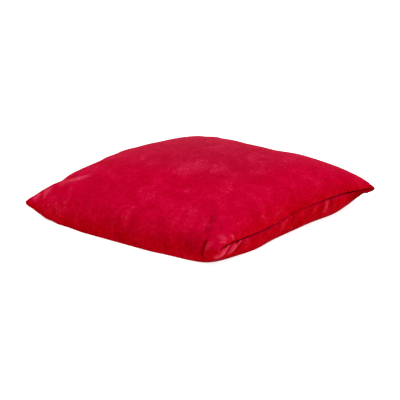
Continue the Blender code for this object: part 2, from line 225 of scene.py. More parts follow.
# %% From cloth coordinates to places on the swollen faces
table_rows = 121
table_samples = 1501
table_rounds = 8


def read_grid(grid, x, y):
    """Reads a grid between its four nearest entries, eased where the entries are vectors."""
    i = np.clip(x.astype(int), 0, grid.shape[0] - 2)
    j = np.clip(y.astype(int), 0, grid.shape[1] - 2)
    a, b = x - i, y - j
    if grid.ndim == 3:
        a, b = smooth(a)[..., None], smooth(b)[..., None]
    low = grid[i, j] * (1 - a) + grid[i + 1, j] * a
    high = grid[i, j + 1] * (1 - a) + grid[i + 1, j + 1] * a
    return low * (1 - b) + high * b


def plan_share(rise, power):
    """The share across the plan where the swell has a rise of 0 to 2, seam to seam."""
    near = 0.5 * (1 - np.sqrt(1 - np.clip(1 - np.abs(rise - 1), 0, 1) ** (1 / power)))
    return np.where(rise < 1, near, 1 - near)


def length_tables(facing):
    """Rise by length along every row of the cloth, across and then along the panel."""
    rise = np.linspace(0, 2, table_samples)
    place = plan_share(rise, SWELL_POWER[facing])[:, None]
    row = plan_share(np.linspace(0, 2, table_rows), SWELL_POWER[facing])[None]
    even = np.linspace(0, 1, table_samples)
    tables = []
    for u, v in ((place, row), (row, place)):
        points = swollen(facing, *np.broadcast_arrays(u, v))
        steps = np.linalg.norm(np.diff(points, axis=0), axis=-1)
        length = np.concatenate((np.zeros((1, table_rows)), np.cumsum(steps, axis=0)))
        length = length / length[-1]
        tables.append(np.stack([np.interp(even, column, rise) for column in length.T], axis=1))
    return tables


def look_up(table, length, row_rise):
    return read_grid(table, length * (table_samples - 1), row_rise / 2 * (table_rows - 1))


LENGTHS = {facing: length_tables(facing) for facing in (1, -1)}


def to_plan(facing, s, t):
    """Plan shares of the places at cloth shares s (from the front left) and t (front right)."""
    across, along = LENGTHS[facing]
    rise_s, rise_t = 2.0 * s, 2.0 * t
    for _ in range(table_rounds):
        rise_s, rise_t = (look_up(across, s, rise_t) + rise_s) / 2, (look_up(along, t, rise_s) + rise_t) / 2
    rise_s, rise_t = look_up(across, s, rise_t), look_up(along, t, rise_s)
    return plan_share(rise_s, SWELL_POWER[facing]), plan_share(rise_t, SWELL_POWER[facing])


def on_cloth(facing, s, t):
    """Points of a panel at cloth shares s and t."""
    return swollen(facing, *to_plan(facing, s, t))


def lattice(lines):
    return np.meshgrid(lines, lines, indexing="ij")


def face_normals(points, lines, facing):
    across = np.gradient(points, lines, axis=0)
    along = np.gradient(points, lines, axis=1)
    normals = np.cross(across, along) * facing
    return normals / (np.linalg.norm(normals, axis=-1, keepdims=True) + 1e-12)


mid_run = on_cloth(1, np.linspace(0, 1, 200), np.full(200, 0.5))
mid_length = np.linalg.norm(np.diff(mid_run, axis=0), axis=1).sum()
print("velvet over the crown", round(mid_length / MM), "mm from seam to seam")

# %% [markdown]
# Several effects fade with the distance to a seam or a tip, or belong to one stretch of the
# seam. Each of these small masks is 1 where the effect is full and 0 where it has gone.

# %% Distances and masks on the cloth
side_steepness = 20
right_end_start = 0.82
shut_tip_length = 6 * MM
sewn_again_length = 7 * MM


def seam_distance(s, t):
    """Distance along the cloth to the nearest seam, in metres."""
    return np.minimum(np.minimum(s, 1 - s), np.minimum(t, 1 - t)) * cut_width


def tip_distance(s, t):
    """Distance along the cloth to the nearest of the four tips, in metres."""
    return np.hypot(np.minimum(s, 1 - s), np.minimum(t, 1 - t)) * cut_width


def zip_half(t):
    """1 on the half of the cloth towards the zip."""
    return smooth((t - 0.5) * side_steepness)


def right_end(s):
    """1 along the last stretch before the right corner."""
    return smooth((s - right_end_start) * 12)


def stretched_shut(s, t):
    """1 beside the front left seam and tip, where the cloth closes the seam."""
    near_front_tip = smooth(1.6 - np.hypot(s, t) * cut_width / shut_tip_length)
    return np.maximum(smooth(1 - s * 12) * smooth(t * 60), near_front_tip)


def drawn_tight(s, t):
    """1 along the middle of the front right seam, where the pile almost closes over it."""
    return smooth((s - 0.14) * 12) * smooth((0.84 - s) * 14) * smooth((0.5 - t) * side_steepness)


def beyond_tapes(s, t):
    """1 on the zip side past the ends of the tapes, where the velvet is sewn shut again."""
    return smooth((reach_from_middle(s) - tape_high[0]) / sewn_again_length) * zip_half(t)


crown_place = np.full(1, 0.5)
print("the crown lies", round(seam_distance(crown_place, crown_place)[0] / MM), "mm from the seams")

# %% [markdown]
# ## Simulated gathers
#
# A flat square of 457 mm has to fit a seam loop with 410 mm sides, so the spare cloth gathers
# into puckers that run in from the seam. Cloth simulation is good at that. The two panels
# become one closed lattice, its rest shape is the flat cut square, and a light pressure holds
# it open while weak pins keep it near the swollen form. A seeded ripple along the seam tells
# the puckers where to start, so they come out even, and the same each time.

# %% Seeded ripples
ripple_wave = 16 * MM
ripple_height = 1.5 * MM
ripple_reach = 18 * MM
ripple_start = 4 * MM
random = np.random.default_rng(7)


def uneven_wave(distance, wave, parts=14, spread=1.6):
    """A wave with no clear beat, from -1 to 1, along a distance."""
    total = np.zeros_like(distance)
    for _ in range(parts):
        length = wave * random.uniform(1 / spread, spread)
        shift, strength = random.uniform(), random.uniform(0.5, 1)
        total = total + strength * np.sin(2 * np.pi * (distance / length + shift))
    return total / np.abs(total).max()


def ripple_line(lines):
    """Ripples along one seam that come and go."""
    calm = uneven_wave(lines * cut_width, 5 * ripple_wave, parts=5)
    return uneven_wave(lines * cut_width, ripple_wave) * (0.55 + 0.45 * calm)


def seam_ripples(s, t, lines):
    """Ripples that run in from each of the four seams and fade out."""
    waves = [ripple_line(lines) for _ in range(4)]
    reach = cut_width / ripple_reach
    ripples = waves[0][:, None] * np.exp(-t * reach) + waves[1][:, None] * np.exp(-(1 - t) * reach)
    ripples = ripples + waves[2][None] * np.exp(-s * reach) + waves[3][None] * np.exp(-(1 - s) * reach)
    return ripples * ripple_height * np.clip(seam_distance(s, t) / ripple_start, 0, 1)


print("a ripple about every", round(ripple_wave / MM), "mm of the seam")

# %% The closed lattice
cloth_cells = 96
lattice_lines = np.linspace(0, 1, cloth_cells + 1)
lattice_s, lattice_t = lattice(lattice_lines)


def numbered(count, start=0):
    """The numbers of a square grid's points."""
    return np.arange(start, start + count * count).reshape(count, count)


def grid_quads(grid):
    return np.stack((grid[:-1, :-1], grid[1:, :-1], grid[1:, 1:], grid[:-1, 1:]), axis=-1).reshape(-1, 4)


def closed_lattice(faces_of_panels):
    """Joins an upper and a lower face at their edge: points, faces, and each one's numbering."""
    size = len(faces_of_panels[1])
    number = {1: numbered(size), -1: numbered(size)}
    number[-1][1:-1, 1:-1] = numbered(size - 2, size * size)
    points = np.concatenate((faces_of_panels[1].reshape(-1, 3),
                             faces_of_panels[-1][1:-1, 1:-1].reshape(-1, 3)))
    return points, np.concatenate((grid_quads(number[1]), grid_quads(number[-1])[:, ::-1])), number


print(lattice_s.size, "points on the lattice of a panel")

# %% Cloth simulation of the closed cover
cloth_frames = 16
pin_weight = 0.1
flat_gap = 0.3 * MM
CLOTH_SETTINGS = {
    "quality": 8, "mass": 0.15, "tension_stiffness": 40, "compression_stiffness": 40,
    "shear_stiffness": 10, "bending_stiffness": 2.0, "tension_damping": 20,
    "compression_damping": 20, "shear_damping": 10, "air_damping": 3,
    "use_pressure": True, "uniform_pressure_force": 4,
}


def simulate_cover():
    """Returns how far the simulation moved each point of the two panels' lattices."""
    s, t = lattice_s, lattice_t
    plain = {facing: on_cloth(facing, s, t) for facing in (1, -1)}
    start = {}
    for facing, points in plain.items():
        ripples = seam_ripples(s, t, lattice_lines)[..., None]
        start[facing] = points + face_normals(points, lattice_lines, facing) * ripples
    points, quads, number = closed_lattice(start)
    flat = np.zeros_like(points)
    for facing, grid in number.items():
        gap = facing * flat_gap * (seam_distance(s, t) > 0)
        flat[grid] = np.stack(((s - 0.5) * cut_width, (t - 0.5) * cut_width, gap), axis=-1)
    mesh = bpy.data.meshes.new("cover_cloth")
    mesh.from_pydata(points.tolist(), [], quads.tolist())
    cover = bpy.data.objects.new("cover_cloth", mesh)
    bpy.context.collection.objects.link(cover)
    cover.shape_key_add(name="Basis")
    cut_shape = cover.shape_key_add(name="cut_flat")
    cut_shape.data.foreach_set("co", flat.ravel())
    pins = cover.vertex_groups.new(name="pins")
    pins.add(list(range(len(points))), pin_weight, "REPLACE")
    cloth = cover.modifiers.new("Cloth", "CLOTH")
    for name, value in CLOTH_SETTINGS.items():
        setattr(cloth.settings, name, value)
    cloth.settings.effector_weights.gravity = 0
    cloth.settings.rest_shape_key = cut_shape
    cloth.settings.vertex_group_mass = pins.name
    cloth.collision_settings.use_collision = False
    cloth.point_cache.frame_end = cloth_frames
    for number_of_frame in range(1, cloth_frames + 1):
        bpy.context.scene.frame_set(number_of_frame)
    settled = cover.evaluated_get(bpy.context.evaluated_depsgraph_get())
    moved = np.zeros(points.size)
    settled.data.vertices.foreach_get("co", moved)
    moved = moved.reshape(-1, 3)
    bpy.data.objects.remove(cover, do_unlink=True)
    bpy.context.scene.frame_set(1)
    return {facing: moved[grid] - plain[facing] for facing, grid in number.items()}


cloth_moves = simulate_cover()
print("the simulation moved the cloth up to",
      round(max(np.abs(moves).max() for moves in cloth_moves.values()) / MM, 1), "mm")

# %% [markdown]
# ## Keeping the gathers and not the drift
#
# The pressure also swells the whole cover by a few millimetres. Only the gathers are wanted,
# so a wide blur of the moves is taken away, the rest is capped, and both panels share one
# value at the seam so that they still meet. The moves fade out where the floor presses the
# cloth flat, and beside the zip, whose lips stay straight.

# %% Relief from the simulation
relief_cap = 3.5 * MM
drift_cells = 10
shared_edge = 6 * MM
zip_calm = 20 * MM
floor_calm = 8 * MM


def blurred(moves, cells, passes):
    """A box blur of a field of vectors in both directions that treats the edge fairly."""
    kernel = np.ones(2 * cells + 1)

    def run(line):
        return np.convolve(line, kernel, "same") / np.convolve(np.ones_like(line), kernel, "same")

    for _ in range(passes):
        for axis in (0, 1):
            moves = np.apply_along_axis(run, axis, moves)
    return moves


def gathers(facing):
    """The simulated moves without drift, as an array over the lattice."""
    kept = cloth_moves[facing] - blurred(cloth_moves[facing], drift_cells, 2)
    kept = blurred(kept, 1, 1)
    length = np.linalg.norm(kept, axis=-1, keepdims=True)
    return kept * np.minimum(1, relief_cap / (length + 1e-9))


RELIEF = {facing: gathers(facing) for facing in (1, -1)}
seam_relief = (RELIEF[1] + RELIEF[-1]) / 2
inner_weight = smooth(seam_distance(lattice_s, lattice_t) / shared_edge)[..., None]
beside_zip = zip_opening(lattice_s) * (1 - smooth((1 - lattice_t) * cut_width / zip_calm))
for facing in (1, -1):
    RELIEF[facing] = RELIEF[facing] * inner_weight + seam_relief * (1 - inner_weight)
    RELIEF[facing] *= (1 - beside_zip)[..., None]
RELIEF[-1] *= smooth(on_cloth(-1, lattice_s, lattice_t)[..., 2] / floor_calm)[..., None]
print("gathers kept, up to", round(np.linalg.norm(RELIEF[1], axis=-1).max() / MM, 1), "mm")

# %% [markdown]
# ## Listed folds
#
# Some folds have a cause that the simulation doesn't know, such as the front corner that was
# tucked under when the cushion was dropped. Each is a short valley or ridge between two
# places on the cloth, given in millimetres from the front left and the front right seam.

# %% Listed folds
# Each is: its path in millimetres, half width, depth. A ridge has a negative depth.
FOLDS = {
    1: [
        # the tucked front corner
        (((0, 39), (20, 40), (32, 47), (58, 58)), 4.4, 3.0), (((60, 61), (76, 69)), 5.5, 2.0),
        (((6, 31), (28, 30)), 6, -1.0), (((18, 12), (36, 24)), 2.4, -1.0), (((40, 6), (52, 18)), 2.4, -1.1),
        (((6, 54), (40, 66)), 7, 1.4),
        # gathers along the front left seam
        (((1, 60), (30, 74)), 5, 1.1), (((1, 88), (40, 100)), 5, 1.2), (((1, 124), (45, 134)), 6, 1.3),
        (((1, 160), (36, 167)), 6, 1.0), (((1, 214), (48, 212)), 7, 1.1), (((1, 262), (52, 255)), 6, 1.2),
        (((1, 300), (44, 290)), 6, 1.0),
        # the left corner
        (((66, 450), (92, 398)), 15, 2.6), (((16, 440), (60, 396)), 7, 1.4),
        (((68, 396), (115, 340)), 4.5, -1.3), (((60, 400), (105, 352)), 5, 0.9),
        # where the back of the crown sags and stands
        (((229, 448), (229, 370)), 22, -2.0), (((310, 440), (310, 360)), 22, 1.6),
        (((430, 350), (385, 345)), 17, -1.8), (((440, 236), (335, 240)), 40, 3.2),
        (((440, 194), (325, 170)), 32, 3.0), (((190, 440), (194, 380)), 16, -1.6),
        (((352, 430), (340, 370)), 18, 1.2),
        # the right corner
        (((448, 8), (412, 40)), 5, 1.2), (((448, 300), (404, 295)), 6, 1.2),
        (((300, 448), (295, 402)), 6, 1.2),
    ],
    -1: [
        # two fine ridges that cross the seam at the front corner
        (((33, 0), (21, 3), (8, 18)), 1.7, -2.4), (((46, 0), (30, 8), (20, 21)), 2.0, 2.0),
        (((64, 0), (50, 6), (32, 20)), 1.9, -2.6), (((68, 2), (54, 10), (40, 24)), 2.4, 2.2),
        (((8, 6), (1, 18)), 2.5, -1.2), (((0, 39), (10, 39)), 3.2, 2.0), (((122, 2), (122, 60)), 42, -3.0),
        # the lower faces of the corners
        (((2, 434), (36, 390)), 12, 2.2), (((2, 395), (36, 380)), 14, 1.8), (((448, 3), (428, 12)), 7, -1.6),
        (((232, 4), (232, 44)), 10, 2.2), (((345, 4), (345, 60)), 44, -3.9),
    ],
}
print({facing: len(folds) for facing, folds in FOLDS.items()}, "folds placed by hand")

# %% Crinkles
crinkle_margin = 16


def along_seam(side, along, away):
    """Cloth millimetres of a place beside a seam."""
    across = cut_width / MM
    return {"front_right": (along, away), "front_left": (away, along),
            "zip": (along, across - away), "back_right": (across - away, along)}[side]


def crinkles(side, count, longest, lean, strength, first=crinkle_margin):
    """Short uneven creases that run in from a seam, some up and some down."""
    made = []
    for _ in range(count):
        along = random.uniform(first, cut_width / MM - crinkle_margin)
        start, length = random.uniform(0.5, 5), longest * random.uniform(0.35, 1)
        bend, slant = random.uniform(-2, 2), lean + random.uniform(-0.35, 0.35)
        half_width = random.uniform(1.5, 3.2)
        depth = strength * random.uniform(0.4, 1) * random.choice((-1, 1, 1))
        path = [along_seam(side, along + slant * length * share + bend * math.sin(math.pi * share),
                           start + length * share) for share in (0, 0.5, 1)]
        made.append((path, half_width, depth))
    return made


lower_front = crinkles("front_right", 64, 24, -0.5, 1.4, first=72)
FOLDS[-1] += lower_front + crinkles("front_left", 24, 14, 0.0, 0.5, first=44)
FOLDS[1] += crinkles("front_right", 26, 22, 0.0, 0.6, first=70)
FOLDS[1] += crinkles("front_left", 34, 40, 0.1, 0.9, first=50)
for facing in (1, -1):
    FOLDS[facing] += crinkles("back_right", 36, 26, 0.2, 1.1)
    FOLDS[facing] += crinkles("zip", 20, 20, 0.0, 0.3)
print({facing: len(folds) for facing, folds in FOLDS.items()}, "folds and crinkles")

# %% [markdown]
# A fold and a mark, of the pile or of painted light and shade, are both strokes across the
# cloth. A stroke is full at its start, runs out at its end, and falls off to both sides. A
# fold also gets low shoulders, because the cloth that a valley takes is pushed up beside it.

# %% Strokes across the cloth
shoulder_share = 0.35
shoulder_width = 2.4


def stroke(s, t, path):
    """How full a stroke is at each place, and how far that place lies aside of it in mm."""
    x, y = s * cut_width / MM, t * cut_width / MM
    lengths = [math.dist(start, end) for start, end in zip(path, path[1:])]
    aside, along, done = np.full_like(x, 1e6), np.zeros_like(x), 0.0
    for (start, end), length in zip(zip(path, path[1:]), lengths):
        run_x, run_y = end[0] - start[0], end[1] - start[1]
        share = np.clip(((x - start[0]) * run_x + (y - start[1]) * run_y) / length ** 2, 0, 1)
        distance = np.hypot(x - start[0] - share * run_x, y - start[1] - share * run_y)
        along = np.where(distance < aside, (done + share * length) / sum(lengths), along)
        aside = np.minimum(aside, distance)
        done += length
    return smooth((1 - along) * 2), aside


def fold_depth(facing, s, t):
    """How far the folds push the cloth in at each place, in metres."""
    depth = np.zeros_like(s)
    for path, half_width, deepest in FOLDS[facing]:
        fade, aside = stroke(s, t, path)
        valley = np.exp(-(aside / half_width) ** 2)
        shoulder = np.exp(-(aside / (shoulder_width * half_width)) ** 2)
        depth = depth + deepest * fade * ((1 + shoulder_share) * valley - shoulder_share * shoulder)
    return depth * MM


tuck = fold_depth(1, *(np.full(1, place * MM / cut_width) for place in (32, 47)))
print("the tucked corner is", round(tuck[0] / MM, 1), "mm deep")

# %% Pile marks and painted light and shade
# Each is: its path in millimetres, half width, strength. Above zero the pile is painted paler, for
# pile lying over and highlights on ridges; below zero deeper, for pile standing up and shade in creases.
PILE_AND_PAINTED_LIGHT_MARKS = {
    1: [
        (((78, 388), (90, 372), (106, 352)), 5.0, 0.75), (((66, 404), (80, 392)), 7, 0.5),
        (((24, 436), (10, 442)), 5, 0.7), (((42, 421), (28, 428)), 6, 0.6),
        (((30, 420), (22, 414)), 3.5, 0.4), (((24, 9), (19, 16)), 2.0, 0.8),
        (((44, 8), (50, 18)), 2.2, 0.8), (((30, 14), (40, 32)), 4, 0.35), (((12, 29), (26, 32)), 5, 0.2),
        (((2, 39), (20, 40), (36, 49)), 3.0, -1.0), (((44, 53), (60, 58)), 5, -0.5),
        (((2, 60), (44, 80)), 13, -0.35), (((6, 120), (50, 160)), 17, -0.2),
        (((4, 182), (34, 204)), 14, -0.25), (((4, 226), (40, 262)), 17, -0.2),
        (((64, 63), (80, 68)), 7, -0.5), (((454, 6), (450, 60)), 4, -0.5),
    ],
    -1: [
        (((33, 0), (21, 3), (8, 19)), 1.3, 1.3), (((64, 0), (50, 6), (32, 21)), 1.6, 1.3),
        (((46, 5), (38, 10), (28, 16)), 4, 0.5), (((44, 1), (26, 10), (18, 18)), 1.6, -0.5),
        (((58, 0), (51, 4), (46, 8)), 1.0, -0.9), (((16, 6), (2, 16)), 5, 0.75),
        (((0, 39), (9, 39)), 2.6, -0.9), (((456, 8), (370, 18)), 16, -0.8),
        (((66, 6), (50, 18), (42, 26)), 3, -0.6), (((298, 3), (291, 34)), 5, -0.5),
        (((323, 3), (319, 28)), 5, -0.5), (((311, 2), (305, 26)), 3.5, 0.25),
    ],
}
# The lower front crinkles get painted shade in their valleys and painted highlights on their ridges.
valley_painted_shade, ridge_painted_highlight = -0.35, -0.13
PILE_AND_PAINTED_LIGHT_MARKS[-1] += [(path, half_width, (valley_painted_shade if depth > 0 else ridge_painted_highlight) * depth)
              for path, half_width, depth in lower_front]
seam_shade = 1.0 * MM


def pile_and_painted_light_marks(facing, s, t):
    """Paler (to 1) or deeper (to -1) pile: lying or standing pile, painted highlights and painted shade."""
    lying_pile_and_painted_light = np.zeros_like(s)
    for path, half_width, strength in PILE_AND_PAINTED_LIGHT_MARKS[facing]:
        fade, aside = stroke(s, t, path)
        lying_pile_and_painted_light = lying_pile_and_painted_light + strength * fade * np.exp(-(aside / half_width) ** 2)
    # Painted shade: the pile turns deep within about a millimetre of the seam, less where it is drawn tight
    # and near the right tip, not where the cloth closes the seam.
    seam = np.exp(-(seam_distance(s, t) / seam_shade) ** 2) * (1 - stretched_shut(s, t))
    seam = seam * (1 - 0.5 * drawn_tight(s, t)) * (1 - 0.4 * right_end(s))
    return np.clip(lying_pile_and_painted_light - seam, -1, 1)


print("marks in the pile", sum(len(marks) for marks in PILE_AND_PAINTED_LIGHT_MARKS.values()))

# %% [markdown]
# ## The seam's valley
#
# Velvet has a deep pile. At a seam it rolls in from both sides and meets in a narrow dark
# valley. Both faces are drawn in over the last few millimetres towards the stitch line,
# except along the zip, where the lips of the opening stay where the solid model has them. On
# the front left the cloth is stretched flat over the seam and the pile closes it. The
# turned-in allowance makes each tip of the cushion blunt. The seam is pushed up beside the
# tucked corner, sags before the middle of the front right, hangs a little at the right tip,
# and is pressed down and spread outwards along the front left.

# %% The valley and the uneven seam
valley_depth = 2.6 * MM
valley_width = 1.5 * MM
tip_fade = 9 * MM
front_rise = 4.2 * MM
front_rise_length = 128 * MM
front_rise_reach = {1: 20 * MM, -1: 9 * MM}
front_tip_reach = 12 * MM
front_tip_blend = 14 * MM
middle_sag = 5 * MM
middle_sag_start = 140 * MM
middle_sag_end = 170 * MM
middle_sag_fade = 50 * MM
right_drop = 4.0 * MM
right_drop_length = 117 * MM
right_drop_reach = 9 * MM
left_drop = 2.6 * MM
left_drop_reach = 12 * MM
left_spread = 4.8 * MM
left_spread_reach = 40 * MM


def seam_valley(s, t):
    """The level move away from the nearest seams, towards the stitch line."""
    sewn = 1 - zip_opening(s) * zip_half(t)
    sewn = sewn * (1 - stretched_shut(s, t)) * smooth(tip_distance(s, t) / tip_fade)
    pull = [np.exp(-share * cut_width / valley_width) - np.exp(-(1 - share) * cut_width / valley_width)
            for share in (s, t)]
    return np.stack((*pull, np.zeros_like(s)), axis=-1) * valley_depth * sewn[..., None]


def fading(distance, reach):
    return np.exp(-(distance / reach) ** 2)


def uneven_seam(facing, s, t):
    """How the seam leaves its even curve: up, down or outwards on the two front sides."""
    along, away = s * cut_width, t * cut_width
    rise = front_rise * (1 - smooth(along / front_rise_length))
    differs = smooth(along / front_tip_blend)
    reach = front_tip_reach * (1 - differs) + front_rise_reach[facing] * differs
    sag = middle_sag * smooth(along / middle_sag_start)
    sag = sag * (1 - smooth((along - middle_sag_end) / middle_sag_fade))
    drop = right_drop * smooth((along - cut_width) / right_drop_length + 1)
    pressed = left_drop * smooth(t * 6 - 0.6) * smooth(5.6 - t * 6)
    spread = left_spread * smooth((t - 0.2) * 6) * smooth((0.79 - t) * 8)
    lift = ((rise - sag) * fading(away, reach) - drop * fading(away, right_drop_reach)
            - pressed * fading(along, left_drop_reach))
    return lift[..., None] * UP - (spread * fading(along, left_spread_reach))[..., None] * ACROSS


front_right_lift = uneven_seam(1, np.linspace(0, 1, 201), np.zeros(201))[:, 2]
print("the front right seam rises", round(front_right_lift.max() / MM, 1), "mm and drops",
      round(-front_right_lift.min() / MM, 1), "mm")

# %% Final outer faces
tip_fullness = {1: 0.9 * MM, -1: 4.4 * MM}
tip_reach = 1.4 * MM
tip_length = 14 * MM
tip_rise_reach = 1.2 * MM
fold_start = 2 * MM
fold_shut_length = 9 * MM
fold_tip_length = 12 * MM
fold_zip_length = 14 * MM


def blunt_tip(facing, s, t):
    """How the allowance inside a tip fills it out: most of it hangs on the lower side."""
    near = np.exp(-tip_distance(s, t) / tip_length)
    rise = 1 - np.exp(-seam_distance(s, t) / tip_rise_reach)
    outward = np.stack((np.sign(s - 0.5), np.sign(t - 0.5), 0 * s), axis=-1) * tip_reach
    return near[..., None] * (outward + facing * tip_fullness[facing] * rise[..., None] * UP)


def cover_face(facing, lines):
    """The finished outer face of a panel at the given cloth lines, and its normals."""
    s, t = lattice(lines)
    points = on_cloth(facing, s, t) + read_grid(RELIEF[facing], s * cloth_cells, t * cloth_cells)
    normals = face_normals(points, lines, facing)
    depth = fold_depth(facing, s, t) * smooth(seam_distance(s, t) / fold_start)
    depth = depth * (1 - stretched_shut(s, t) * (1 - smooth(s * cut_width / fold_shut_length)))
    depth = depth * smooth(tip_distance(s, t) / fold_tip_length)
    depth = depth * (1 - zip_opening(s) * (1 - smooth((1 - t) * cut_width / fold_zip_length)))
    points = points - normals * depth[..., None] + seam_valley(s, t)
    points = points + blunt_tip(facing, s, t) + uneven_seam(facing, s, t)
    points[..., 2] = np.maximum(points[..., 2], 0.0)
    return points, face_normals(points, lines, facing)


def graded_lines(first=0.6 * MM, fine=1.0 * MM, fine_until=75 * MM, widest=1.9 * MM, growth=1.22):
    """Cloth lines that are close together at the seams and over the front corner's folds."""
    near = [0.0]
    while near[-1] < fine_until:
        near.append(near[-1] + min(fine, first * growth ** len(near)))
    far, step = [0.0], first
    while step < widest:
        far.append(far[-1] + step)
        step *= growth
    count = math.ceil((cut_width - near[-1] - far[-1]) / widest)
    middle = np.linspace(near[-1], cut_width - far[-1], count + 1)
    return np.concatenate((near[:-1], middle, cut_width - np.array(far[-2::-1]))) / cut_width


fine_lines = graded_lines()
print(len(fine_lines), "cloth lines each way on a panel")

# %% [markdown]
# ## A panel as a closed shell
#
# A real panel is a sheet with thickness whose edge is folded in as a seam allowance. The
# shell has a fine outer face, then rings that turn in at the lip, pass the stitch line and
# run round the end of the allowance, then a coarser inner face. A small zipper of triangles
# joins rings with different numbers of points.

# %% Rings round the seam
def border(grid):
    """The numbers round the edge of a grid, in order from the front corner."""
    return np.concatenate((grid[:-1, 0], grid[-1, :-1], grid[:0:-1, -1], grid[0, :0:-1]))


def seam_runs(lines):
    """Each side in order round the seam, with its border points' shares of the plan."""
    onward, back = lines[:-1], lines[:0:-1]
    for side, shares, axis, edge in (("front_right", onward, 0, 0), ("back_right", onward, 1, 1),
                                     ("zip", back, 0, 1), ("front_left", back, 1, 0)):
        place = (shares, 0 * shares + edge) if axis == 0 else (0 * shares + edge, shares)
        yield side, to_plan(1, *place)[axis]


def ring(lines, inset, rise, zip_inset, zip_rise, base_inset=0.0):
    """Points once round the seam at an inset and rise, which differ along the zip."""
    runs = []
    for side, share in seam_runs(lines):
        opening = zip_opening(share) if side == "zip" else np.zeros_like(share)
        here = base_inset + inset + (zip_inset - inset) * opening
        lift = rise + (zip_rise - rise) * opening
        runs.append(side_curve(side, share, here) + UP * lift[:, None])
    return np.concatenate(runs)


def set_border(face, loop):
    face.reshape(-1, 3)[border(numbered(len(face)))] = loop


def ring_places(lines):
    """Where each border point lies on the way round, from 0 to 4."""
    return np.concatenate([side + (lines[:-1] if side < 2 else 1 - lines[:0:-1]) for side in range(4)])


print(len(ring_places(fine_lines)), "points once round the seam")

# %% Shell builder
def zipper(outer, outer_places, inner, inner_places):
    """Triangles between two rings with different numbers of points."""
    faces, i, j = [], 0, 0
    outer_next = np.append(outer_places[1:], 4.0)
    inner_next = np.append(inner_places[1:], 4.0)
    while i < len(outer) or j < len(inner):
        here, there = outer[i % len(outer)], inner[j % len(inner)]
        if j >= len(inner) or (i < len(outer) and outer_next[i] <= inner_next[j]):
            faces.append((here, outer[(i + 1) % len(outer)], there))
            i += 1
        else:
            faces.append((here, inner[(j + 1) % len(inner)], there))
            j += 1
    return faces


def make_mesh_object(name, points, faces):
    mesh = bpy.data.meshes.new(name)
    mesh.from_pydata(np.asarray(points).tolist(), [], [tuple(map(int, face)) for face in faces])
    shape = bmesh.new()
    shape.from_mesh(mesh)
    bmesh.ops.recalc_face_normals(shape, faces=shape.faces)
    if shape.calc_volume(signed=True) < 0:
        bmesh.ops.reverse_faces(shape, faces=shape.faces)
    shape.to_mesh(mesh)
    shape.free()
    mesh.shade_smooth()
    thing = bpy.data.objects.new(name, mesh)
    bpy.context.collection.objects.link(thing)
    return thing


def shell(name, outer_face, lines, rings, inner_face, inner_lines):
    """A closed shell from its outer face, its rings and its inner face."""
    outer_grid = numbered(len(lines))
    lip = border(outer_grid)
    points, faces = [outer_face.reshape(-1, 3)], grid_quads(outer_grid).tolist()
    last, count = lip, outer_grid.size
    for loop in rings:
        numbers = np.arange(count, count + len(loop))
        points.append(loop)
        faces.extend(np.stack((last, np.roll(last, -1), np.roll(numbers, -1), numbers), axis=-1).tolist())
        last, count = numbers, count + len(loop)
    inner_grid = numbered(len(inner_lines), count)
    points.append(inner_face.reshape(-1, 3))
    faces.extend(grid_quads(inner_grid)[:, ::-1].tolist())
    faces.extend(zipper(last, ring_places(lines), border(inner_grid), ring_places(inner_lines)))
    made = make_mesh_object(name, np.concatenate(points), faces)
    lip = set(lip.tolist())
    for edge in made.data.edges:
        if lip.issuperset(edge.vertices):
            edge.use_edge_sharp = True
    for face in made.data.polygons:
        face.material_index = 0 if max(face.vertices) < outer_grid.size else 1
    return made


def hand_over(piece, node, body="cushion"):
    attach(piece, body)
    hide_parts(node)
    print(piece.name, len(piece.data.polygons), "faces")
    return piece


# %% [markdown]
# ## The two velvet panels
#
# Each panel's rings follow the solid model's own seam: the lip, the hollow for the thread,
# the allowance, and along the zip the pocket that its tapes and slider sit in. The inner face
# is the outer one pushed in by the thickness of the cloth.

# %% Build the velvet panels
velvet_thickness = 2.0 * MM
lip_gap = 0.7 * MM
lip_reach = 1.5 * MM
lip_tip_start = 4 * MM
lip_shift_reach = 14 * MM
root_inset = 4.2 * MM
root_rise, root_zip_rise = 1.9 * MM, 6.0 * MM
tape_top = tape_high[2] - zip_height
inner_lines = np.linspace(0, 1, 73)
# Each ring: its inset and rise, and both again along the zip.
COVER_RINGS = (
    (2.7 * MM, 0.65 * MM, 0.9 * MM, 0.7 * MM),
    (3.2 * MM, 0.7 * MM, 2.8 * MM, 4.4 * MM),
    (allowance, 0.06 * MM, allowance, tape_top + 0.1 * MM),
    (allowance, 1.6 * MM, allowance, tape_top + 1.7 * MM),
)


def cover_ring(facing, lines, inset, rise, zip_inset, zip_rise):
    """A ring that follows the uneven seam, the less the further in it lies."""
    shift = uneven_seam(-1, *lattice(lines)).reshape(-1, 3)[border(numbered(len(lines)))]
    return (ring(lines, inset, facing * rise, zip_inset, facing * zip_rise)
            + shift * math.exp(-inset / lip_shift_reach))


def lip_opening(s, t):
    """How far the lip of one panel lies from the middle of the seam."""
    gap = lip_gap * (1 - 1.03 * stretched_shut(s, t))
    gap = gap * smooth((tip_distance(s, t) - lip_tip_start) / tip_fade)
    gap = gap * (1 - 0.6 * drawn_tight(s, t)) * (1 - 0.9 * beyond_tapes(s, t))
    gap = gap * (1 - 0.5 * right_end(s) * (1 - beyond_tapes(s, t)))
    return gap * np.exp(-seam_distance(s, t) / lip_reach)


